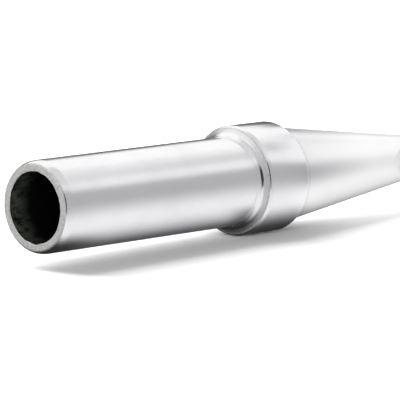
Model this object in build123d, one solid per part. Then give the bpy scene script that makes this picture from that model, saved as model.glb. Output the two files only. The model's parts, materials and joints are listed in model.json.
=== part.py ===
from build123d import *
import os
from math import cos, radians, tan

# Chisel soldering tip: one turned and plated piece.
# A thin hollow shank slips over a round heater. A collar near its front end is what the
# retaining barrel pulls against. In front of the collar the nose tapers and ends in a
# chisel, cut by two flats.
# The origin is the centre of the open mouth. +Z runs along the axis towards the chisel
# edge, and the flats face +X and -X, so the chisel edge runs along Y.

# Driving dimensions, in millimetres and degrees
bore_diameter = 5.0            # hole for the heater
shank_wall = 0.75              # thickness of the hollow shank around the bore
shank_length = 19.2            # from the mouth to the root of the collar
mouth_edge_width = 0.32        # rounded outer edge of the mouth, across
mouth_edge_length = 0.75       # the same edge, along the axis
bore_edge_break = 0.04         # bevel where the bore opens into the mouth face
collar_step = 0.75             # how far the collar stands out from the shank
collar_length = 4.35           # from the root of the collar to its front face
collar_rear_lean = 30.0        # how far the collar's rear face leans back, in degrees
collar_root_round = 0.30       # where the shank meets the collar's rear face
collar_rear_round = 0.40       # rounded rear edge of the collar
collar_front_break = 0.08      # small bevel on the front edge of the collar
front_shoulder = 0.40          # width of the flat ring in front of the collar
bore_setback = 0.95            # the full bore stops this far behind the collar's front face
drill_point_angle = 118.0      # cone that the drill leaves at the end of the bore
nose_length = 15.9             # from the front face of the collar to the chisel edge
chisel_width = 3.2             # along the chisel edge, and the nose's diameter there
chisel_thickness = 0.9         # across the two flats at the chisel edge
flat_length = 4.0              # each flat, along the axis
chisel_edge_round = 0.12       # softened edges around the chisel's end face

# Sizes that follow from the driving dimensions
bore_radius = bore_diameter / 2
shank_radius = bore_radius + shank_wall
collar_radius = shank_radius + collar_step
nose_base_radius = collar_radius - front_shoulder
nose_end_radius = chisel_width / 2
collar_rear_z = shank_length
collar_front_z = collar_rear_z + collar_length
tip_z = collar_front_z + nose_length
bore_end_z = collar_front_z - bore_setback
drill_point_z = bore_end_z + bore_radius / tan(radians(drill_point_angle / 2))
collar_rim_z = collar_rear_z + collar_step * tan(radians(collar_rear_lean))
rear_face_width = collar_step / cos(radians(collar_rear_lean))
rear_turn = tan(radians((90 - collar_rear_lean) / 2))

# No edge is rounded or bevelled by more than its own wall or step has room for
room = 0.9
mouth_edge = min(mouth_edge_width, room * (shank_wall - bore_edge_break))
root_radius = min(collar_root_round, room * rear_face_width / 2 / rear_turn)
rear_radius = min(collar_rear_round, room * rear_face_width / 2 / rear_turn)
front_bevel = min(collar_front_break, room * front_shoulder)
end_radius = min(chisel_edge_round, room * chisel_thickness / 4)


def half_section():
    """Half of the turned outline, in the XZ plane, with the axis of the tip on Z."""
    bore_mouth = (bore_radius + bore_edge_break, 0)
    mouth_flat_end = (shank_radius - mouth_edge, 0)
    mouth_edge_middle = (shank_radius - mouth_edge, mouth_edge_length)
    shank_start = (shank_radius, mouth_edge_length)
    collar_root = (shank_radius, collar_rear_z)
    collar_rim = (collar_radius, collar_rim_z)
    collar_end = (collar_radius, collar_front_z - front_bevel)
    shoulder_start = (collar_radius - front_bevel, collar_front_z)
    nose_start = (nose_base_radius, collar_front_z)
    nose_end = (nose_end_radius, tip_z)
    outline = [
        Line(bore_mouth, mouth_flat_end),
        EllipticalCenterArc(mouth_edge_middle, mouth_edge, mouth_edge_length, 270, arc_size=90),
        FilletPolyline(shank_start, collar_root, collar_rim, collar_end, radius=(root_radius, rear_radius)),
        Polyline(collar_end, shoulder_start, nose_start, nose_end, (0, tip_z)),
        Polyline((0, tip_z), (0, drill_point_z), (bore_radius, bore_end_z)),
        Polyline((bore_radius, bore_end_z), (bore_radius, bore_edge_break), bore_mouth),
    ]
    return Plane.XZ * make_face(Curve() + outline)


def nose_radius_at(z):
    """Radius of the tapering nose at a height, before the flats are cut."""
    share = (z - collar_front_z) / nose_length
    return nose_base_radius + share * (nose_end_radius - nose_base_radius)


def flat_cutter(side):
    """Wedge that cuts one flat: side is 1 for the +X flat and -1 for the -X flat."""
    flat_z = tip_z - flat_length
    overshoot = nose_base_radius
    edge_x = chisel_thickness / 2
    root_x = nose_radius_at(flat_z)
    slope = (root_x - edge_x) / flat_length
    corners = [
        (side * (edge_x - slope * overshoot), tip_z + overshoot),
        (side * (root_x + slope * overshoot), flat_z - overshoot),
        (side * (root_x + slope * overshoot + overshoot), tip_z + overshoot),
    ]
    wedge = make_face(Polyline(*corners, close=True))
    return extrude(Plane.XZ * wedge, amount=2 * nose_base_radius, both=True)


def soldering_tip():
    """The whole tip as one solid."""
    body = revolve(half_section(), Axis.Z, 360)
    for side in (1, -1):
        body -= flat_cutter(side)
    end_face = body.faces().sort_by(Axis.Z)[-1]
    return fillet(end_face.edges(), end_radius)


os.makedirs("parts", exist_ok=True)
tip = soldering_tip()
export_step(tip, "parts/soldering_tip.step")
print("overall length", round(tip_z, 3), "mm, volume", round(tip.volume, 2), "mm3")
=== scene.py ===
import json
import math

import bmesh
import bpy
from bpy.props import FloatProperty, FloatVectorProperty, IntProperty, PointerProperty
from mathutils import Matrix, Vector


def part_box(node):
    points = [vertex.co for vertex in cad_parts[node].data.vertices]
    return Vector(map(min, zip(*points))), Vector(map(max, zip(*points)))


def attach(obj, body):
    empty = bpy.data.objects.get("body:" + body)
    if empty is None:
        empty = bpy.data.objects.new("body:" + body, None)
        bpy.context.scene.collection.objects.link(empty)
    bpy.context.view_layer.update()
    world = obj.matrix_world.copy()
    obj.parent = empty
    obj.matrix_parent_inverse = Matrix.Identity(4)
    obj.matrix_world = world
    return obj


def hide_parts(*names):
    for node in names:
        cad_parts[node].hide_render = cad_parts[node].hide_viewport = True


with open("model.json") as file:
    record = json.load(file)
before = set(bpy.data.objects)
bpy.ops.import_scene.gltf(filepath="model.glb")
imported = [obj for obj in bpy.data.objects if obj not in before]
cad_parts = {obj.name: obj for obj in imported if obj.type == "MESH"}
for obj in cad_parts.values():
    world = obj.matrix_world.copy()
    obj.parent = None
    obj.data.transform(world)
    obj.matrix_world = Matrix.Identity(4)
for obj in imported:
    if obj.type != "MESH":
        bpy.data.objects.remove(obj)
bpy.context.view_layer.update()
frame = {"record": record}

bl_info = {
    "name": "Chisel soldering tip",
    "version": (1, 0, 0),
    "blender": (4, 5, 0),
    "location": "View3D > Sidebar > Soldering Tip",
    "description": "Turned and plated chisel soldering tip, with a plain studio around it",
    "category": "Add Mesh",
}

MM = 0.001
NODE = "soldering_tip"
BODY = "root"
MOUNTS = {mount["name"]: mount for mount in frame["record"]["mounts"]}
LOWEST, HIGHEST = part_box(NODE)
COLLAR_FRONT = MOUNTS["collar_front_seat"]["pos_m"][2] / MM  # height in millimetres
NO_FLAT = 1.0  # a flat this far out, in metres, cuts nothing


def millimetres(name, text, value):
    """A length property, written in millimetres and kept in metres."""
    return FloatProperty(name=name, description=text, default=value * MM, unit="LENGTH", precision=5)


def colour(name, text, value):
    """A colour property with an alpha of 1."""
    return FloatVectorProperty(
        name=name, description=text, default=(*value, 1.0), size=4, min=0.0, max=1.0, subtype="COLOR")


def degrees(name, text, value):
    """An angle property, written in degrees and kept in radians."""
    return FloatProperty(name=name, description=text, default=math.radians(value), subtype="ANGLE")


def share(name, text, value):
    """A property from 0 to 1."""
    return FloatProperty(name=name, description=text, default=value, min=0.0, max=1.0, subtype="FACTOR")


def placed(name, data):
    """An object with this data, linked to the scene and left at the origin."""
    thing = bpy.data.objects.new(name, data)
    bpy.context.scene.collection.objects.link(thing)
    return thing


def hide_from(thing, *rays):
    """Hides an object from these kinds of rays."""
    for kind in rays:
        setattr(thing, "visible_" + kind, False)


class TipSizes(bpy.types.PropertyGroup):
    """Sizes of the turned and ground tip."""
    bore_radius: millimetres(
        "Bore radius", "Radius of the hole for the heater", MOUNTS["heater_bore"]["dims"]["r_mm"])
    bore_edge_break: millimetres("Bore edge break", "Bevel where the bore meets the mouth face", 0.04)
    bore_wall: millimetres(
        "Bore wall", "Length of the straight bore wall", MOUNTS["heater_bore"]["dims"]["length_mm"])
    drill_angle: degrees("Drill angle", "Full angle of the cone at the end of the bore", 118.0)
    shank_radius: millimetres(
        "Shank radius", "Outside radius of the hollow shank", MOUNTS["shank"]["dims"]["r_mm"])
    mouth_edge_width: millimetres("Mouth edge width", "Width of the mouth's rounded outer edge", 0.32)
    mouth_edge_length: millimetres("Mouth edge length", "Length of the mouth's rounded outer edge", 0.75)
    collar_radius: millimetres("Collar radius", "Outside radius of the collar", HIGHEST.x / MM)
    collar_front: millimetres("Collar front", "Height of the collar's front face", COLLAR_FRONT)
    collar_length: millimetres("Collar length", "Length of the collar along the axis", 4.35)
    collar_rear_lean: degrees("Collar rear lean", "How far the collar's rear face leans back", 30.0)
    collar_root_round: millimetres("Collar root round", "Radius between shank and collar", 0.50)
    collar_rear_round: millimetres("Collar rear round", "Radius on the collar's rear edge", 0.40)
    collar_front_break: millimetres("Collar front break", "Bevel on the collar's front edge", 0.08)
    collar_cut: share("Collar cut", "How much the collar's rear face looks like a bare cut", 0.4)
    front_shoulder: millimetres("Front shoulder", "Width of the flat ring in front of the collar", 0.40)
    tip_height: millimetres("Tip height", "Height of the chisel edge above the mouth", HIGHEST.z / MM)
    chisel_width: millimetres("Chisel width", "Width of the chisel edge", 3.2)
    chisel_thickness: millimetres("Chisel thickness", "Thickness across the flats at the edge", 0.9)
    flat_length: millimetres("Flat length", "Length of each flat along the axis", 4.0)
    end_round: millimetres("End round", "Softened edge around the chisel's end face", 0.12)
    ridge_round: millimetres("Ridge round", "Softening where the flats meet the nose", 0.10)
    waviness: millimetres("Bore edge waviness", "How far the edge of the bore wanders", 0.09)
    segments: IntProperty(name="Segments", description="Faces around the axis", default=288, min=32)
    seed: IntProperty(name="Seed", description="Seed of the bore edge's waviness", default=7)


class TipFinish(bpy.types.PropertyGroup):
    """Colours and gloss of the finishes."""
    plating: colour("Plating", "Bright plating of the shank, collar and nose", (0.955, 0.952, 0.962))
    plating_shade: colour("Plating shade", "Duller patches in the plating", (0.90, 0.895, 0.91))
    plating_gloss: share("Plating roughness", "Roughness of the plating", 0.20)
    tin: colour("Tin", "Tinned working end", (0.97, 0.97, 0.965))
    tin_gloss: share("Tin roughness", "Roughness of the nose and its tinned end", 0.33)
    tin_metal: share("Tin metal", "How metallic the tinned end looks", 0.30)
    cut: colour("Cut", "Faces cut across: the mouth and the back of the collar", (0.90, 0.91, 0.885))
    cut_shade: colour("Cut shade", "Darker specks in the cut faces", (0.71, 0.72, 0.69))
    cut_gloss: share("Cut roughness", "Roughness of the cut faces", 0.58)
    # Nearly black: a dark stain on the wall, darkened further as painted shade deep in the bore
    bore: colour("Bore", "Dark, heat-stained wall of the bore", (0.0010, 0.0012, 0.0009))
    # Lighter patches: patchy stain, with painted light that fades in towards the mouth
    bore_stain_and_light: colour("Bore stain", "Lighter patches near the mouth of the bore", (0.032, 0.037, 0.029))
    tin_start: millimetres(
        "Tin start", "Height at which the tin begins, at the collar's front edge", COLLAR_FRONT - 0.10)
    tin_full: millimetres("Tin full", "Height at which the tin covers the plating", COLLAR_FRONT + 9.95)
    # Painted shade: a faint dark ring around the nose just in front of the collar, where shade falls against
    # it
    painted_shade_height: millimetres(
        "Painted shade height", "Height of the faint line around the start of the nose", COLLAR_FRONT + 0.65)
    line_width: millimetres("Painted shade width", "From the middle of that line to its edge", 0.2)
    painted_shade_strength: share("Painted shade strength", "How dark that line is", 0.12)


class StudioSettings(bpy.types.PropertyGroup):
    """Place of the camera and level of the lamps."""
    camera_place: FloatVectorProperty(
        name="Camera place", description="Where the camera stands", size=3, unit="LENGTH",
        default=(169.77 * MM, -32.57 * MM, -161.14 * MM))
    camera_aim: FloatVectorProperty(
        name="Camera aim", description="What the camera looks at", size=3, unit="LENGTH",
        default=(7.54 * MM, -0.42 * MM, 8.46 * MM))
    lens: FloatProperty(name="Lens", description="Focal length of the camera", default=311.6, unit="CAMERA")
    stage_size: millimetres("Stage size", "Side of the floor and of the backdrop", 3000.0)
    tent_radius: millimetres("Tent radius", "Radius of the light tent", 1500.0)
    lamp_distance: millimetres("Lamp distance", "From the tip to each lamp", 600.0)
    key_width: millimetres("Key width", "Width of the key lamp", 770.0)
    key_height: millimetres("Key height", "Height of the key lamp", 520.0)
    key_power: FloatProperty(
        name="Key power", description="Power of the key lamp", default=6.0, unit="POWER")
    front_size: millimetres("Front size", "Side of the lamp beside the camera", 400.0)
    front_power: FloatProperty(
        name="Front power", description="Power of the lamp beside the camera", default=4.9, unit="POWER")
    fill: FloatProperty(name="Fill", description="Level of the soft light from all sides", default=0.30)
    floor_glow: FloatProperty(
        name="Floor glow", description="Level of the floor's own pale tone for the camera", default=0.62)
    backdrop_glow: FloatProperty(
        name="Backdrop glow", description="The same for the backdrop beside the shank", default=0.0)
    # Painted light: the backdrop's glow rises beside the chisel and fades the shadow out there
    backdrop_glow_rise: FloatProperty(
        name="Backdrop rise", description="How much paler the backdrop is beside the chisel", default=0.26)
    backdrop_lean: degrees("Backdrop lean", "How far the backdrop leans away from the mouth", 0.75)


# The turned outline

# How many steps each stretch of the outline is divided into
MOUTH_EDGE_STEPS = 48
ROOT_STEPS = 24
RIM_STEPS = 40
FRONT_BREAK_STEPS = 4
NOSE_STEPS = 14
CHISEL_STEPS = 60
END_ROUND_STEPS = 8
END_FACE_STEPS = 5

# Depths in the bore, in millimetres, and how much of the edge's waviness reaches there
BORE_WAVES = ((3.0, 0.0), (1.2, 0.35), (0.5, 0.75), (0.2, 0.95))
MOUTH_WAVES = (0.5, 0.1)  # the same at two even steps outwards over the mouth's flat face

# Where the bare cut fades into plating on the two rounded edges, in degrees: 0 faces outwards, -90 the mouth
MOUTH_CUT_FADE = (-68.0, -65.5)
RIM_CUT_FADE = (-48.5, -44.5)
REAR_FACE_PLACES = (0.3, 0.8)  # points across the collar's rear face, as shares of its width


def spaced(start, end, count):
    """Values from start to end in equal steps, with both ends."""
    return [start + (end - start) * i / count for i in range(count + 1)]


def arc(centre, across, along, angles):
    """Points of a round or oval arc in the outline's plane, at these angles, in degrees.
    across and along are its half sizes in radius and in height."""
    turns = [math.radians(angle) for angle in angles]
    return [(centre[0] + across * math.cos(a), centre[1] + along * math.sin(a)) for a in turns]


class Outline:
    """Half of the tip's section as a chain of points from the end of the bore to the chisel edge. Each
    point has a radius, a height, the distance of the flats from the axis there, how much the surface is a
    bare cut, how far the bore's edge may wander, and whether the bore's wall goes on from there."""

    def __init__(self):
        self.points, self.flats, self.cuts, self.waves, self.bores = [], [], [], [], []

    def add(self, radius, height, flat=NO_FLAT, cut=0.0, wave=0.0, bore=False):
        """Adds a point."""
        self.points.append((radius, 0.0, height))
        self.flats.append(flat)
        self.cuts.append(cut)
        self.waves.append(wave)
        self.bores.append(bore)


def add_bore(line, size):
    """The drill point and the wall of the bore, up to the mouth."""
    bore_end = size.bore_edge_break + size.bore_wall
    line.add(0.0, bore_end + size.bore_radius / math.tan(size.drill_angle / 2), bore=True)
    line.add(size.bore_radius, bore_end, bore=True)
    for depth, wave in BORE_WAVES:
        line.add(size.bore_radius, depth * MM, wave=wave, bore=True)
    line.add(size.bore_radius, size.bore_edge_break, cut=1.0, wave=1.0)
    line.add(size.bore_radius + size.bore_edge_break, 0.0, cut=1.0, wave=1.0)


def fading(value, full, none):
    """1 up to full, 0 from none on, and a straight fall between them."""
    return min(1.0, max(0.0, (none - value) / (none - full)))


def add_shank(line, size):
    """The flat mouth face, its long rounded outer edge and the straight shank."""
    centre = (size.shank_radius - size.mouth_edge_width, size.mouth_edge_length)
    inner_radius = size.bore_radius + size.bore_edge_break
    flat_radii = spaced(inner_radius, centre[0], len(MOUTH_WAVES) + 1)[1:-1]
    for radius, wave in zip(flat_radii, MOUTH_WAVES):
        line.add(radius, 0.0, cut=1.0, wave=wave)
    edge_angles = spaced(-90.0, 0.0, MOUTH_EDGE_STEPS)
    edge_points = arc(centre, size.mouth_edge_width, size.mouth_edge_length, edge_angles)
    for angle, (radius, height) in zip(edge_angles, edge_points):
        line.add(radius, height, cut=fading(angle, *MOUTH_CUT_FADE))


def add_collar(line, size):
    """The collar: a rear face that leans back, a rounded root and rim, and a nearly sharp front edge."""
    rear = size.collar_front - size.collar_length
    lean, rise = math.degrees(size.collar_rear_lean), math.tan(size.collar_rear_lean)
    reach = math.tan((math.pi / 2 - size.collar_rear_lean) / 2)
    root = (size.shank_radius + size.collar_root_round, rear - size.collar_root_round * reach)
    rim_height = rear + (size.collar_radius - size.shank_radius) * rise
    rim = (size.collar_radius - size.collar_rear_round, rim_height + size.collar_rear_round * reach)
    root_angles = spaced(180.0, 90.0 + lean, ROOT_STEPS)
    root_points = arc(root, size.collar_root_round, size.collar_root_round, root_angles)
    rim_angles = spaced(lean - 90.0, 0.0, RIM_STEPS)
    rim_points = arc(rim, size.collar_rear_round, size.collar_rear_round, rim_angles)
    for radius, height in root_points:
        line.add(radius, height)
    for place in REAR_FACE_PLACES:
        radius, height = [a + place * (b - a) for a, b in zip(root_points[-1], rim_points[0])]
        line.add(radius, height, cut=size.collar_cut)
    for angle, (radius, height) in zip(rim_angles, rim_points):
        line.add(radius, height, cut=fading(angle, *RIM_CUT_FADE))
    corner = (size.collar_radius - size.collar_front_break, size.collar_front - size.collar_front_break)
    break_angles = spaced(0.0, 90.0, FRONT_BREAK_STEPS)
    for radius, height in arc(corner, size.collar_front_break, size.collar_front_break, break_angles):
        line.add(radius, height)


def add_nose(line, size):
    """The tapering nose, the flats that cut it and the chisel's end face."""
    base, end = size.collar_radius - size.front_shoulder, size.chisel_width / 2
    length = size.tip_height - size.collar_front
    flat_start = size.tip_height - size.flat_length
    chisel_start = flat_start - size.flat_length / 4

    def taper(height):
        """Radius of the nose at a height, before the flats are cut."""
        return base + (end - base) * (height - size.collar_front) / length

    def flat_at(height):
        """Distance of the flats from the axis at a height."""
        lean = (taper(flat_start) - size.chisel_thickness / 2) / size.flat_length
        return size.chisel_thickness / 2 + lean * (size.tip_height - height)

    for height in spaced(size.collar_front, chisel_start, NOSE_STEPS)[:-1]:
        line.add(taper(height), height)
    for height in spaced(chisel_start, size.tip_height - size.end_round, CHISEL_STEPS)[:-1]:
        line.add(taper(height), height, flat=flat_at(height))
    for inset, rise in arc((0.0, 0.0), size.end_round, size.end_round, spaced(0.0, 90.0, END_ROUND_STEPS)):
        height = size.tip_height - size.end_round + rise
        pulled_in = size.end_round - inset
        line.add(taper(height) - pulled_in, height, flat=flat_at(height) - pulled_in)
    rim, rim_flat = line.points[-1][0], line.flats[-1]
    for part in spaced(1.0, 0.0, END_FACE_STEPS)[1:]:
        line.add(rim * part, size.tip_height, flat=rim_flat * part)


def outline_object(size):
    """The outline as an object: a chain of edges with the values that the lathe reads."""
    line = Outline()
    for add in (add_bore, add_shank, add_collar, add_nose):
        add(line, size)
    mesh = bpy.data.meshes.new("turned_tip")
    mesh.from_pydata(line.points, [(i, i + 1) for i in range(len(line.points) - 1)], [])
    for name, values in (
            ("flat", line.flats), ("cut", line.cuts), ("wave", line.waves), ("bore", line.bores)):
        mesh.attributes.new(name, "FLOAT", "POINT").data.foreach_set("value", [float(v) for v in values])
    return placed("turned_tip", mesh)


# Small helpers for node trees, in which t is a Tree

class Tree:
    """A node tree with short ways to add nodes and values."""

    def __init__(self, tree):
        self.tree = tree

    def node(self, kind, **settings):
        """Adds a node and sets its own settings."""
        made = self.tree.nodes.new(kind)
        for name, value in settings.items():
            setattr(made, name, value)
        return made

    def put(self, value, socket):
        """Links a socket to an input, or sets the input to a plain value."""
        if isinstance(value, bpy.types.NodeSocket):
            self.tree.links.new(value, socket)
        else:
            socket.default_value = value

    def math(self, operation, *values, clamp=False):
        """A maths node on one to three values."""
        made = self.node("ShaderNodeMath", operation=operation, use_clamp=clamp)
        for value, socket in zip(values, made.inputs):
            self.put(value, socket)
        return made.outputs[0]

    def vector(self, x, y, z):
        """A vector from three values."""
        made = self.node("ShaderNodeCombineXYZ")
        for value, socket in zip((x, y, z), made.inputs):
            self.put(value, socket)
        return made.outputs[0]

    def swung(self, noise, reach, middle):
        """A value that swings with a noise, by half the reach to each side of the middle."""
        return self.math("MULTIPLY_ADD", self.math("SUBTRACT", noise, 0.5), reach, middle)

    def parts(self, vector):
        """The three values of a vector."""
        made = self.node("ShaderNodeSeparateXYZ")
        self.put(vector, made.inputs[0])
        return list(made.outputs)

    def between(self, value, low, high):
        """0 at low and beyond it, 1 at high and beyond it, and a smooth step between them."""
        made = self.node("ShaderNodeMapRange", interpolation_type="SMOOTHSTEP")
        for given, name in ((value, "Value"), (low, "From Min"), (high, "From Max")):
            self.put(given, made.inputs[name])
        return made.outputs["Result"]


def input_sockets(tree):
    """The named inputs of a tree of geometry nodes: name to identifier."""
    items = tree.interface.items_tree
    return {item.name: item.identifier for item in items if getattr(item, "in_out", "") == "INPUT"}


def held(t, name):
    """The value that the geometry's own points or faces hold under a name."""
    read = t.node("GeometryNodeInputNamedAttribute", data_type="FLOAT")
    read.inputs["Name"].default_value = name
    return read.outputs["Attribute"]


def sampled(t, profile, value, kind, index):
    """A value of one point of the outline."""
    sample = t.node("GeometryNodeSampleIndex", data_type=kind, domain="POINT")
    t.put(profile, sample.inputs["Geometry"])
    t.put(value, sample.inputs["Value"])
    t.put(index, sample.inputs["Index"])
    return sample.outputs["Value"]


def stored(t, geometry, name, value, domain):
    """The geometry with a value kept under a name."""
    keep = t.node("GeometryNodeStoreNamedAttribute", data_type="FLOAT", domain=domain)
    keep.inputs["Name"].default_value = name
    t.put(geometry, keep.inputs["Geometry"])
    t.put(value, keep.inputs["Value"])
    return keep.outputs[0]


LEAST_COSINE = 0.001  # keeps a flat's distance along a radius finite where the two run side by side
WANDER_SCALE = 4.5  # how fine the waves around the bore's edge are
WANDER_DETAIL = 3.0
MERGE_DISTANCE = MM / 1000
SHARP_ANGLE = math.radians(32)  # faces that meet at more than this show an edge


def lathe_tree():
    """Turns the outline around Z, grinds the two flats and lets the bore's edge wander a little."""
    tree = bpy.data.node_groups.new("Lathe with flats", "GeometryNodeTree")
    interface = tree.interface
    for name, kind in (
            ("Outline", "NodeSocketGeometry"), ("Segments", "NodeSocketInt"), ("Ridge", "NodeSocketFloat"),
            ("Waviness", "NodeSocketFloat"), ("Seed", "NodeSocketInt"),
            ("Bore finish", "NodeSocketMaterial"), ("Outside finish", "NodeSocketMaterial")):
        interface.new_socket(name=name, in_out="INPUT", socket_type=kind)
    interface.new_socket(name="Tip", in_out="OUTPUT", socket_type="NodeSocketGeometry")
    t = Tree(tree)
    given = t.node("NodeGroupInput").outputs
    profile = given["Outline"]

    count = t.node("GeometryNodeAttributeDomainSize", component="MESH")
    t.put(profile, count.inputs["Geometry"])
    rings = count.outputs["Point Count"]
    grid = t.node("GeometryNodeMeshGrid")
    t.put(t.math("ADD", given["Segments"], 1), grid.inputs["Vertices X"])
    t.put(rings, grid.inputs["Vertices Y"])
    index = t.node("GeometryNodeInputIndex").outputs[0]

    ring = t.math("MODULO", index, rings)
    column = t.math("FLOOR", t.math("DIVIDE", t.math("ADD", index, 0.5), rings))
    angle = t.math("MULTIPLY", column, t.math("DIVIDE", math.tau, given["Segments"]))
    cosine, sine = t.math("COSINE", angle), t.math("SINE", angle)

    position = t.node("GeometryNodeInputPosition").outputs[0]
    turned_radius, _, height = t.parts(sampled(t, profile, position, "FLOAT_VECTOR", ring))

    flat = sampled(t, profile, held(t, "flat"), "FLOAT", ring)
    reach = t.math("DIVIDE", flat, t.math("MAXIMUM", t.math("ABSOLUTE", cosine), LEAST_COSINE))
    ground = t.math("SMOOTH_MIN", turned_radius, reach, given["Ridge"])
    radius = t.math("MAXIMUM", ground, 0.0)

    noise = t.node("ShaderNodeTexNoise", noise_dimensions="4D")
    t.put(t.vector(cosine, sine, 0.0), noise.inputs["Vector"])
    t.put(given["Seed"], noise.inputs["W"])
    t.put(WANDER_SCALE, noise.inputs["Scale"])
    t.put(WANDER_DETAIL, noise.inputs["Detail"])
    # The noise lies within half of 0.5, so its distance from there is doubled at the end
    wander = t.math("MULTIPLY", t.math("SUBTRACT", noise.outputs[0], 0.5), given["Waviness"])
    wander = t.math("MULTIPLY", wander, sampled(t, profile, held(t, "wave"), "FLOAT", ring))
    radius = t.math("MULTIPLY_ADD", wander, 2.0, radius)

    turned = t.node("GeometryNodeSetPosition")
    t.put(grid.outputs["Mesh"], turned.inputs["Geometry"])
    spot = t.vector(t.math("MULTIPLY", radius, cosine), t.math("MULTIPLY", radius, sine), height)
    t.put(spot, turned.inputs["Position"])
    made = stored(t, turned.outputs[0], "cut", sampled(t, profile, held(t, "cut"), "FLOAT", ring), "POINT")
    row = t.math("MODULO", index, t.math("SUBTRACT", rings, 1))
    made = stored(t, made, "bore", sampled(t, profile, held(t, "bore"), "FLOAT", row), "FACE")

    merge = t.node("GeometryNodeMergeByDistance")
    t.put(made, merge.inputs["Geometry"])
    t.put(MERGE_DISTANCE, merge.inputs["Distance"])
    smooth = t.node("GeometryNodeSetShadeSmooth")
    t.put(merge.outputs[0], smooth.inputs["Geometry"])
    real = t.node("GeometryNodeRealizeInstances")
    t.put(smooth.outputs[0], real.inputs["Geometry"])
    made = real.outputs[0]
    # The outside's finish goes on every face, and then the bore's on those of its wall
    for name, least in (("Outside finish", -1.0), ("Bore finish", 0.5)):
        paint = t.node("GeometryNodeSetMaterial")
        t.put(made, paint.inputs["Geometry"])
        t.put(t.math("GREATER_THAN", held(t, "bore"), least), paint.inputs["Selection"])
        t.put(given[name], paint.inputs["Material"])
        made = paint.outputs[0]
    t.put(made, t.node("NodeGroupOutput").inputs["Tip"])
    return tree


def turned_on_lathe(piece, size, outside_finish, bore_finish):
    """Runs the lathe on the outline and leaves the result as the piece's plain mesh."""
    tree = lathe_tree()
    modifier = piece.modifiers.new("Lathe", "NODES")
    modifier.node_group = tree
    values = {
        "Segments": size.segments, "Ridge": size.ridge_round, "Waviness": size.waviness, "Seed": size.seed,
        "Bore finish": bore_finish, "Outside finish": outside_finish,
    }
    sockets = input_sockets(tree)
    for name, value in values.items():
        modifier[sockets[name]] = value
    ready = piece.evaluated_get(bpy.context.evaluated_depsgraph_get())
    mesh = bpy.data.meshes.new_from_object(ready)
    piece.modifiers.remove(modifier)
    piece.data = mesh
    mesh.name = "turned_tip"
    mesh.set_sharp_from_angle(angle=SHARP_ANGLE)
    return piece


# Finishes

# Cells of noise per millimetre along X, Y and Z
CLOUDS = (0.35, 0.35, 0.25)
GRAIN = (9.0, 9.0, 7.0)
TURNING_LINES = (0.25, 0.25, 11.0)
MOTTLE = (5.0, 5.0, 5.0)
BORE_PATCHES = (2.2, 2.2, 1.4)

# Noise levels between which one look turns into another
PLATING_SHADES = (0.35, 0.75)
CUT_SPECKS = (0.35, 0.70)
BORE_STAINS = (0.30, 0.62)

# How much each noise adds to the roughness, from its lowest to its highest
CLOUDS_ROUGHEN = 0.10
GRAIN_ROUGHENS = 0.06
MOTTLE_ROUGHENS = 0.16

# Depths of the fine relief
LINES_DEPTH = 0.0012 * MM
GRAIN_DEPTH = 0.0015 * MM
MOTTLE_DEPTH = 0.010 * MM
BORE_DEPTH = 0.03 * MM

TIN_RAGGED = 3.0 * MM  # how far the tin's start wanders along the axis
# The bore's patches carry painted light, which fades in between these heights towards the mouth
LIT_STAIN_ENDS, LIT_STAIN_FULL = 2.2 * MM, 0.2 * MM  # heights in the bore
BORE_SMOOTHEST, BORE_ROUGHENS = 0.6, 0.2
BORE_SPECULAR = 0.04
BLACK = (0.0, 0.0, 0.0, 1.0)
WHITE = (1.0, 1.0, 1.0, 1.0)


def new_material(name):
    """A material with an empty tree: (material, tree, object coordinates, surface output)."""
    material = bpy.data.materials.new(name)
    material.use_nodes = True
    material.node_tree.nodes.clear()
    t = Tree(material.node_tree)
    coordinates = t.node("ShaderNodeTexCoord").outputs["Object"]
    return material, t, coordinates, t.node("ShaderNodeOutputMaterial").inputs["Surface"]


def stretched_noise(t, coordinates, per_mm, detail=3.0, roughness=0.55):
    """Noise with its own number of cells per millimetre along X, Y and Z."""
    mapping = t.node("ShaderNodeMapping")
    t.put(coordinates, mapping.inputs["Vector"])
    t.put([cells / MM for cells in per_mm], mapping.inputs["Scale"])
    noise = t.node("ShaderNodeTexNoise")
    t.put(mapping.outputs[0], noise.inputs["Vector"])
    t.put(1.0, noise.inputs["Scale"])
    t.put(detail, noise.inputs["Detail"])
    t.put(roughness, noise.inputs["Roughness"])
    return noise.outputs[0]


def mixed(t, factor, first, second):
    """A colour between two colours."""
    mix = t.node("ShaderNodeMix", data_type="RGBA")
    for value, socket in ((factor, mix.inputs[0]), (first, mix.inputs[6]), (second, mix.inputs[7])):
        t.put(value, socket)
    return mix.outputs[2]


def blended(t, factor, first, second):
    """A value between two values."""
    mix = t.node("ShaderNodeMix", data_type="FLOAT")
    for value, socket in ((factor, mix.inputs[0]), (first, mix.inputs[2]), (second, mix.inputs[3])):
        t.put(value, socket)
    return mix.outputs[0]


def either(t, share_of_second, first, second):
    """A surface between two shaders."""
    mix = t.node("ShaderNodeMixShader")
    for value, socket in zip((share_of_second, first, second), mix.inputs):
        t.put(value, socket)
    return mix.outputs[0]


def bump(t, height, depth, below=None):
    """A bump of this depth, in metres, on top of another one."""
    made = t.node("ShaderNodeBump")
    t.put(height, made.inputs["Height"])
    t.put(1.0, made.inputs["Strength"])
    t.put(depth, made.inputs["Distance"])
    if below is not None:
        t.put(below, made.inputs["Normal"])
    return made.outputs[0]


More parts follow.
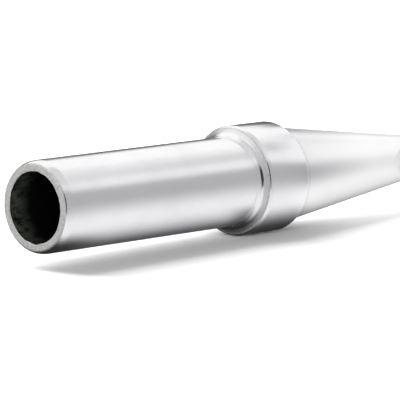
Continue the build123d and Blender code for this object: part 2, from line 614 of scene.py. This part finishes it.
def metal_material(finish):
    """Satin bright plating over fine turning lines. It turns into matte white tin towards the chisel, and
    where the tool cut across, at the mouth and behind the collar, into a dull mottled face."""
    material, t, coordinates, surface = new_material("Plated metal")
    height = t.parts(coordinates)[2]
    clouds = stretched_noise(t, coordinates, CLOUDS, detail=4.0)
    grain = stretched_noise(t, coordinates, GRAIN, detail=2.0)
    lines = stretched_noise(t, coordinates, TURNING_LINES, detail=4.0, roughness=0.7)
    mottle = stretched_noise(t, coordinates, MOTTLE, detail=5.0, roughness=0.65)
    cut = t.node("ShaderNodeAttribute", attribute_type="GEOMETRY", attribute_name="cut").outputs["Fac"]

    ragged = t.swung(clouds, TIN_RAGGED, height)
    on_nose = t.math("GREATER_THAN", height, finish.tin_start)
    tinned = t.math("MULTIPLY", on_nose, t.between(ragged, finish.tin_start, finish.tin_full))
    plated = mixed(t, t.between(clouds, *PLATING_SHADES), list(finish.plating), list(finish.plating_shade))
    plated = mixed(t, tinned, plated, list(finish.tin))
    # Painted shade: the plating darkens towards black in a faint ring just in front of the collar
    off_painted_shade = t.math("ABSOLUTE", t.math("SUBTRACT", height, finish.painted_shade_height))
    painted_shade = t.math("MULTIPLY", t.between(off_painted_shade, finish.line_width, 0.0), finish.painted_shade_strength)
    plated = mixed(t, painted_shade, plated, BLACK)
    speckled = mixed(t, t.between(mottle, *CUT_SPECKS), list(finish.cut), list(finish.cut_shade))
    shader = t.node("ShaderNodeBsdfPrincipled")
    t.put(mixed(t, cut, plated, speckled), shader.inputs["Base Color"])
    t.put(t.math("MULTIPLY_ADD", tinned, finish.tin_metal - 1.0, 1.0), shader.inputs["Metallic"])

    uneven = t.swung(grain, GRAIN_ROUGHENS, t.swung(clouds, CLOUDS_ROUGHEN, finish.plating_gloss))
    rough = t.math("MULTIPLY_ADD", on_nose, finish.tin_gloss - finish.plating_gloss, uneven)
    dull = t.swung(mottle, MOTTLE_ROUGHENS, finish.cut_gloss)
    t.put(blended(t, cut, rough, dull), shader.inputs["Roughness"])

    turned = bump(t, lines, LINES_DEPTH)
    grained = bump(t, grain, GRAIN_DEPTH, below=turned)
    t.put(bump(t, t.math("MULTIPLY", mottle, cut), MOTTLE_DEPTH, below=grained), shader.inputs["Normal"])
    t.put(shader.outputs[0], surface)
    return material


def bore_material(finish):
    """The wall of the bore: nearly black, a dark stain with painted shade deep inside, and a few lighter
    patches near the mouth that are patchy stain with painted light fading in from the mouth.
    """
    material, t, coordinates, surface = new_material("Dark bore with painted shade")
    patches = stretched_noise(t, coordinates, BORE_PATCHES, detail=5.0, roughness=0.65)
    # Painted light: the lighter patches show only near the mouth and fade out deeper in the bore
    lit_near_mouth = t.between(t.parts(coordinates)[2], LIT_STAIN_ENDS, LIT_STAIN_FULL)
    stained = t.math("MULTIPLY", t.between(patches, *BORE_STAINS), lit_near_mouth)
    shader = t.node("ShaderNodeBsdfPrincipled")
    t.put(mixed(t, stained, list(finish.bore), list(finish.bore_stain_and_light)), shader.inputs["Base Color"])
    t.put(0.0, shader.inputs["Metallic"])
    t.put(t.math("MULTIPLY_ADD", patches, BORE_ROUGHENS, BORE_SMOOTHEST), shader.inputs["Roughness"])
    t.put(BORE_SPECULAR, shader.inputs["Specular IOR Level"])
    t.put(bump(t, patches, BORE_DEPTH), shader.inputs["Normal"])
    t.put(shader.outputs[0], surface)
    return material


# The studio

SQUARE = ((-1, -1), (1, -1), (1, 1), (-1, 1))  # corners, in half sides


def stage_plane(name, size, normal, distance):
    """A large square that faces along normal and lies at this distance along it. Only the camera sees it,
    so it lights and shades nothing."""
    mesh = bpy.data.meshes.new(name)
    mesh.from_pydata([(size / 2 * i, size / 2 * j, 0.0) for i, j in SQUARE], [], [(0, 1, 2, 3)])
    turn = Vector(normal).to_track_quat("Z", "X").to_matrix().to_4x4()
    mesh.transform(Matrix.Translation(Vector(normal) * distance) @ turn)
    plane = placed(name, mesh)
    hide_from(plane, "diffuse", "glossy", "transmission", "shadow")
    return plane


FLOOR_TONE = (1.13, 1.13, 1.13, 1.0)  # over 1, so that it is white all round the shadow, as in the photo
GLOW_SPREADS = (80.0, 400.0)  # distances in millimetres between which the glow takes over from the lamps
# The backdrop's glow rising between these heights is painted light that fades the shadow out beside the
# chisel
GLOW_RISES = (20.0, 42.0)  # heights in millimetres between which the backdrop gets paler


def floor_material(name, glow, rise=0.0):
    """Pale, matte and seen from its front side only. It keeps the object's shadow. For the camera it has a
    glow of its own, which may rise along the tip's axis and keeps it white where the lamps don't reach."""
    material, t, coordinates, surface = new_material(name)
    # Painted light: the glow rises along the axis and lightens the shadow beside the chisel
    glow_risen = t.between(t.parts(coordinates)[2], *[height * MM for height in GLOW_RISES])
    length = t.node("ShaderNodeVectorMath", operation="LENGTH")
    t.put(coordinates, length.inputs[0])
    far = t.between(length.outputs["Value"], *[distance * MM for distance in GLOW_SPREADS])
    matte = t.node("ShaderNodeBsdfDiffuse")
    t.put(FLOOR_TONE, matte.inputs["Color"])
    pale = t.node("ShaderNodeEmission")
    t.put(WHITE, pale.inputs["Color"])
    seen = t.node("ShaderNodeLightPath").outputs["Is Camera Ray"]
    level = t.math("ADD", far, t.math("MULTIPLY_ADD", glow_risen, rise, glow))
    t.put(t.math("MULTIPLY", seen, level), pale.inputs["Strength"])
    lit = t.node("ShaderNodeAddShader")
    t.put(matte.outputs[0], lit.inputs[0])
    t.put(pale.outputs[0], lit.inputs[1])
    from_behind = t.node("ShaderNodeNewGeometry").outputs["Backfacing"]
    nothing = t.node("ShaderNodeBsdfTransparent").outputs[0]
    t.put(either(t, from_behind, lit.outputs[0], nothing), surface)
    return material


# Panels of the light tent, as the metal shows them. Each has its left and right edge by azimuth and its
# lower and upper edge by elevation, in degrees, each edge with half the width of its soft border. Then
# comes how far it leans sideways for each degree of elevation above LEAN_START, and its level. A panel
# lies over those before it, and the tent around them has the level TENT_BASE.
TENT_BASE = 0.89
LEAN_START = 45
TENT_PANELS = (
    # left soft right soft   low soft high soft   lean  level
    (-158, 5, -97, 7, -90, 10, 80, 12, 0.0, 1.04),   # softbox overhead
    (-97, 6, 150, 10, 54, 3, 84, 4, 0.0, 1.02),      # pale ceiling, as the nose shows it
    (-83, 7, -61, 7, 45, 2, 52, 3, 0.0, 0.55),       # far card, low
    (-114, 6, -97, 6, 54, 4, 64, 4, 0.0, 0.66),      # far card, high
    (-38, 9, 16, 26, -30, 6, 80, 12, 0.5, 0.46),     # grey card beside the camera
    (-34, 7, 12, 16, 58, 3, 84, 5, 0.5, 0.37),       # the same card, as the nose shows it
    (92, 40, 176, 8, 33, 8, 54, 8, 0.0, 0.09),       # floor in shadow, further off
    (80, 22, 172, 6, -57, 8, 35, 8, 0.0, 0.02),      # floor in shadow, close by
    (-104, 8, -50, 8, -24, 6, 38, 6, 0.0, 0.70),     # pale wall beyond the far cards
    (-112, 10, -33, 6, -62, 6, -24, 5, 0.0, 0.60),   # the same wall, lower down
    (164, 6, 207, 4, -26, 6, 82, 5, 0.0, 0.10),      # dark gap behind
    (166, 4, 220, 4, 50, 2, 84, 5, 0.0, 0.0),        # the same gap, as the nose shows it
    (-181, 1, 181, 1, -91, 1, -58, 6, 0.0, 0.55),    # wall below
    (150, 8, 262, 12, -85, 6, -36, 4, 0.0, 0.97),    # lamp below, behind
    (-37, 4, 15, 4, -68, 3, -25, 3, 0.0, 0.0),       # opening for the camera
)
TENT_COOL = (0.975, 0.965, 1.025, 1.0)  # tint of the darkest panels, which fades out towards the brightest


def tent_material():
    """Soft panels by direction: lamps, cards and gaps around the object. The metal shows them, but doesn't
    throw their light on to the floor, so that the shadow there stays dark."""
    material, t, coordinates, surface = new_material("Light tent")
    x, y, z = t.parts(coordinates)
    azimuth = t.math("ARCTAN2", y, x)
    across = t.math("SQRT", t.math("ADD", t.math("MULTIPLY", x, x), t.math("MULTIPLY", y, y)))
    elevation = t.math("ARCTAN2", z, across)
    above_start = t.math("MAXIMUM", t.math("SUBTRACT", elevation, math.radians(LEAN_START)), 0.0)
    level = TENT_BASE
    for panel in TENT_PANELS:
        left, soft_left, right, soft_right, low, soft_low, high, soft_high = map(math.radians, panel[:8])
        lean, panel_level = panel[8:]
        middle, half = (left + right) / 2, (right - left) / 2
        straight = t.math("SUBTRACT", azimuth, t.math("MULTIPLY_ADD", above_start, lean, middle))
        offset = t.math("WRAP", straight, math.pi, -math.pi)
        inside = t.between(offset, -half - soft_left, -half + soft_left)
        for border in (
                t.between(offset, half + soft_right, half - soft_right),
                t.between(elevation, low - soft_low, low + soft_low),
                t.between(elevation, high + soft_high, high - soft_high)):
            inside = t.math("MULTIPLY", inside, border)
        level = t.math("MULTIPLY_ADD", inside, t.math("SUBTRACT", panel_level, level), level)
    glow = t.node("ShaderNodeEmission")
    t.put(mixed(t, level, TENT_COOL, WHITE), glow.inputs["Color"])
    after_matte = t.node("ShaderNodeLightPath").outputs["Diffuse Depth"]
    t.put(t.math("MULTIPLY", level, t.math("LESS_THAN", after_matte, 0.5)), glow.inputs["Strength"])
    t.put(glow.outputs[0], surface)
    return material


def reflected_only(name, mesh, material):
    """A glowing piece of the stage that only reflections show, and that isn't sampled as a lamp."""
    material.cycles.emission_sampling = "NONE"
    mesh.materials.append(material)
    thing = placed(name, mesh)
    hide_from(thing, "camera", "diffuse", "transmission", "volume_scatter", "shadow")


def light_tent(radius):
    """A ball around everything that only reflections show."""
    ball = bmesh.new()
    bmesh.ops.create_icosphere(ball, subdivisions=5, radius=radius)
    mesh = bpy.data.meshes.new("light_tent")
    ball.to_mesh(mesh)
    ball.free()
    reflected_only("light_tent", mesh, tent_material())


# Strips of backdrop in the object's own shadow. Along the axis each has the heights where it starts, is
# dark, begins to fade and ends. Across it each has the x of its sharp edge, and those where it begins to
# fade and ends. All are in millimetres, and the level comes last.
STRIP_GAP = 0.02 * MM  # from the collar's side to the strips
SHADOW_STRIPS = {
    "under_mouth": ((-3.0, -1.2, 2.0, 7.0), (-4.0, 1.2, 4.2), 0.03),
    "under_collar": ((18.0, 21.0, 24.8, 28.5), (-3.8, 1.0, 5.2), 0.03),
}


def shadow_strip(name, along, across, strength):
    """A dark strip of the backdrop close under the object, as only reflections show it."""
    start, dark_from, dark_to, end = [height * MM for height in along]
    near, dark_edge, far = [place * MM for place in across]
    level = HIGHEST.y + STRIP_GAP
    mesh = bpy.data.meshes.new(name)
    mesh.from_pydata([(x, level, z) for x, z in ((near, start), (far, start), (far, end), (near, end))],
                     [], [(0, 1, 2, 3)])
    material, t, coordinates, surface = new_material("Shadow " + name)
    x, _, z = t.parts(coordinates)
    mask = t.between(x, far, dark_edge)
    for outer, inner in ((start, dark_from), (end, dark_to)):
        mask = t.math("MULTIPLY", mask, t.between(z, outer, inner))
    dark = t.node("ShaderNodeEmission")
    t.put(strength, dark.inputs["Strength"])
    nothing = t.node("ShaderNodeBsdfTransparent").outputs[0]
    t.put(either(t, mask, nothing, dark.outputs[0]), surface)
    reflected_only(name, mesh, material)


def studio_world(fill):
    """White behind everything for the camera, reflections and glass, and a weaker fill light."""
    world = bpy.data.worlds.new("Studio")
    world.use_nodes = True
    world.node_tree.nodes.clear()
    t = Tree(world.node_tree)
    path = t.node("ShaderNodeLightPath").outputs
    seen = t.math("ADD", path["Is Camera Ray"], path["Is Glossy Ray"])
    seen = t.math("ADD", seen, path["Is Transmission Ray"], clamp=True)
    back = t.node("ShaderNodeBackground")
    t.put(WHITE, back.inputs["Color"])
    t.put(t.math("MULTIPLY_ADD", seen, 1.0 - fill, fill), back.inputs["Strength"])
    t.put(back.outputs[0], t.node("ShaderNodeOutputWorld").inputs["Surface"])
    bpy.context.scene.world = world


def facing(place, aim, up):
    """A placement that looks from a place at an aim, with the top of the picture towards up."""
    back = (Vector(place) - Vector(aim)).normalized()
    right = Vector(up).cross(back).normalized()
    turn = Matrix((right, back.cross(right), back)).transposed().to_4x4()
    return Matrix.Translation(Vector(place)) @ turn


def soft_lamp(name, direction, distance, width, height, power):
    """A soft lamp that faces the middle of the tip. Reflections show the tent instead of it."""
    light = bpy.data.lights.new(name, "AREA")
    light.shape, light.size, light.size_y, light.energy = "RECTANGLE", width, height, power
    lamp = placed(name, light)
    middle = Vector((0.0, 0.0, HIGHEST.z / 2))
    lamp.matrix_world = facing(middle + Vector(direction).normalized() * distance, middle, (0, 0, 1))
    lamp.visible_glossy = False


KEY_DIRECTION = (-0.90, -1.0, -0.06)  # from the tip towards the key lamp
PICTURE_UP = (0.0, -1.0, 0.0)  # the tip lies on its side in the photo, with this side up
CLIP_START, CLIP_END = 1.0 * MM, 10.0  # nearest and furthest that the camera sees, in metres


def studio_camera(studio):
    """The camera at the photograph's place, looking into the mouth from beside and below."""
    data = bpy.data.cameras.new("camera")
    data.lens = studio.lens
    data.clip_start, data.clip_end = CLIP_START, CLIP_END
    camera = placed("camera", data)
    camera.matrix_world = facing(studio.camera_place, studio.camera_aim, PICTURE_UP)
    bpy.context.scene.camera = camera


# Operators and panel

class TurnTip(bpy.types.Operator):
    """Make the turned and plated tip in place of the plain solid"""
    bl_idname = "tip.turned_body"
    bl_label = "Turned tip"

    def execute(self, context):
        sizes, finish = context.scene.tip_sizes, context.scene.tip_finish
        piece = turned_on_lathe(outline_object(sizes), sizes, metal_material(finish), bore_material(finish))
        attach(piece, BODY)
        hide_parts(NODE)
        return {"FINISHED"}


class BuildStage(bpy.types.Operator):
    """Make the pale floor and backdrop, the light tent, both lamps and the camera"""
    bl_idname = "tip.studio_stage"
    bl_label = "Studio stage"

    def execute(self, context):
        studio = context.scene.tip_studio
        # The backdrop leans about the point where the collar's front edge touches it
        lean = studio.backdrop_lean
        touched = Vector((0.0, HIGHEST.y, context.scene.tip_sizes.collar_front))
        towards_tip = Vector((0.0, -math.cos(lean), -math.sin(lean)))
        backdrop = stage_plane("backdrop", studio.stage_size, towards_tip, towards_tip.dot(touched))
        backdrop.data.materials.append(floor_material(
            "Pale backdrop", studio.backdrop_glow, studio.backdrop_glow_rise))
        floor = stage_plane("floor", studio.stage_size, (0, 0, 1), LOWEST.z)
        floor.data.materials.append(floor_material("Pale floor", studio.floor_glow))
        light_tent(studio.tent_radius)
        for name, (along, across, strength) in SHADOW_STRIPS.items():
            shadow_strip(name, along, across, strength)
        studio_world(studio.fill)
        soft_lamp("key_lamp", KEY_DIRECTION, studio.lamp_distance, studio.key_width, studio.key_height,
                  studio.key_power)
        to_camera = Vector(studio.camera_place) - Vector(studio.camera_aim)
        soft_lamp("front_lamp", to_camera, studio.lamp_distance, studio.front_size, studio.front_size,
                  studio.front_power)
        studio_camera(studio)
        context.scene.view_settings.view_transform = "Standard"
        return {"FINISHED"}


class TipPanel(bpy.types.Panel):
    """Sidebar panel with the tip's operators and sizes"""
    bl_idname = "VIEW3D_PT_soldering_tip"
    bl_label = "Soldering Tip"
    bl_space_type = "VIEW_3D"
    bl_region_type = "UI"
    bl_category = "Soldering Tip"

    def draw(self, context):
        layout = self.layout
        layout.operator(TurnTip.bl_idname)
        layout.operator(BuildStage.bl_idname)
        for title, group in (
                ("Sizes", context.scene.tip_sizes), ("Finish", context.scene.tip_finish),
                ("Studio", context.scene.tip_studio)):
            box = layout.box()
            box.label(text=title)
            for name in group.__annotations__:
                box.prop(group, name)


CLASSES = (TipSizes, TipFinish, StudioSettings, TurnTip, BuildStage, TipPanel)


def register():
    """Adds the classes, and their settings to the scene."""
    for made in CLASSES:
        bpy.utils.register_class(made)
    bpy.types.Scene.tip_sizes = PointerProperty(type=TipSizes)
    bpy.types.Scene.tip_finish = PointerProperty(type=TipFinish)
    bpy.types.Scene.tip_studio = PointerProperty(type=StudioSettings)


def unregister():
    """Takes the settings and the classes away again."""
    for name in ("tip_sizes", "tip_finish", "tip_studio"):
        delattr(bpy.types.Scene, name)
    for made in reversed(CLASSES):
        bpy.utils.unregister_class(made)


def main():
    """Makes the piece and its studio."""
    register()
    bpy.ops.tip.turned_body()
    bpy.ops.tip.studio_stage()


if __name__ == "__main__":
    main()
